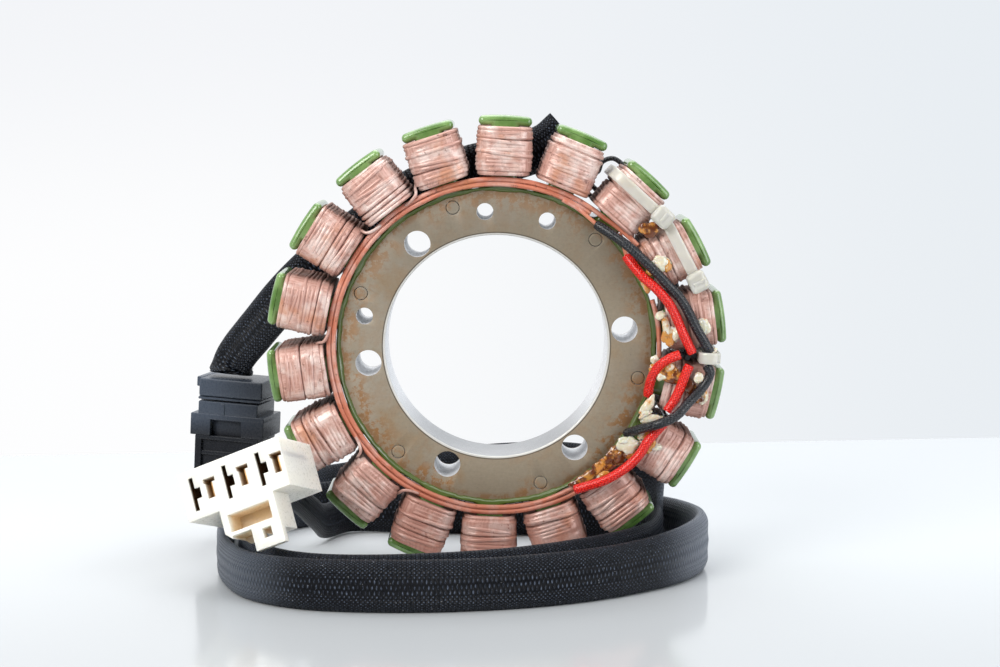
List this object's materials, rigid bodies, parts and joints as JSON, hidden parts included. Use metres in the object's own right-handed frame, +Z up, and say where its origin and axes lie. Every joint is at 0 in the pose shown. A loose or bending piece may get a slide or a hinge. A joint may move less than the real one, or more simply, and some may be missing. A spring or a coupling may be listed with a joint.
{
  "type": "wound stator",
  "caption": "Ring-shaped wound stator with green-coated pole teeth, copper coils, spliced wires, flat braided leads and a black and an ivory connector.",
  "frame": {"origin": "on the supporting surface, under the middle of the stator, which stands on its lowest pole", "axes": "+Z up, the stator's axis along Y with the spliced face towards -Y, +X to the right seen from that face"},
  "size_m": [0.1488, 0.1862, 0.1232],
  "materials": {
    "silicon_steel": "laminated, with light rust on the cut faces",
    "green_epoxy": "glossy thick powder coat",
    "enamelled_copper": "lacquered winding wire",
    "red_sleeving": "smooth sleeving",
    "black_sleeving": "smooth sleeving",
    "splice_resin": "hardened varnish",
    "natural_nylon": "translucent moulding",
    "black_braid": "braided sleeve over the wires",
    "black_plastic": "moulded",
    "ivory_plastic": "moulded",
    "contact_brass": "stamped"
  },
  "bodies": {
    "root": {"core_stack": "silicon_steel", "stack_rivet_1": "silicon_steel", "stack_rivet_2": "silicon_steel", "stack_rivet_3": "silicon_steel", "stack_rivet_4": "silicon_steel", "stack_rivet_5": "silicon_steel", "stack_rivet_6": "silicon_steel", "insulation_coating": "green_epoxy", "coil_01": "enamelled_copper", "coil_02": "enamelled_copper", "coil_03": "enamelled_copper", "coil_04": "enamelled_copper", "coil_05": "enamelled_copper", "coil_06": "enamelled_copper", "coil_07": "enamelled_copper", "coil_08": "enamelled_copper", "coil_09": "enamelled_copper", "coil_10": "enamelled_copper", "coil_11": "enamelled_copper", "coil_12": "enamelled_copper", "coil_13": "enamelled_copper", "coil_14": "enamelled_copper", "coil_15": "enamelled_copper", "coil_16": "enamelled_copper", "coil_17": "enamelled_copper", "coil_18": "enamelled_copper", "jumper_wire_inner": "enamelled_copper", "jumper_wire_outer": "enamelled_copper", "red_sleeve_1": "red_sleeving", "red_sleeve_2": "red_sleeving", "red_sleeve_3": "red_sleeving", "red_sleeve_4": "red_sleeving", "black_sleeve_1": "black_sleeving", "black_sleeve_2": "black_sleeving", "splice_resin_1": "splice_resin", "splice_resin_2": "splice_resin", "splice_resin_3": "splice_resin", "splice_resin_4": "splice_resin", "cable_tie_1": "natural_nylon", "cable_tie_2": "natural_nylon", "cable_tie_3": "natural_nylon", "lead_a_wire_1": "black_sleeving", "lead_a_wire_2": "black_sleeving", "lead_a_wire_3": "black_sleeving", "lead_b_wire_1": "black_sleeving", "lead_b_wire_2": "black_sleeving", "lead_b_wire_3": "black_sleeving", "lead_a_sleeve": "black_braid", "lead_b_sleeve": "black_braid", "black_connector_body": "black_plastic", "black_connector_cap": "black_plastic", "white_connector_housing": "ivory_plastic", "white_contact_1": "contact_brass", "white_contact_2": "contact_brass", "white_contact_3": "contact_brass"}
  },
  "joints": []
}
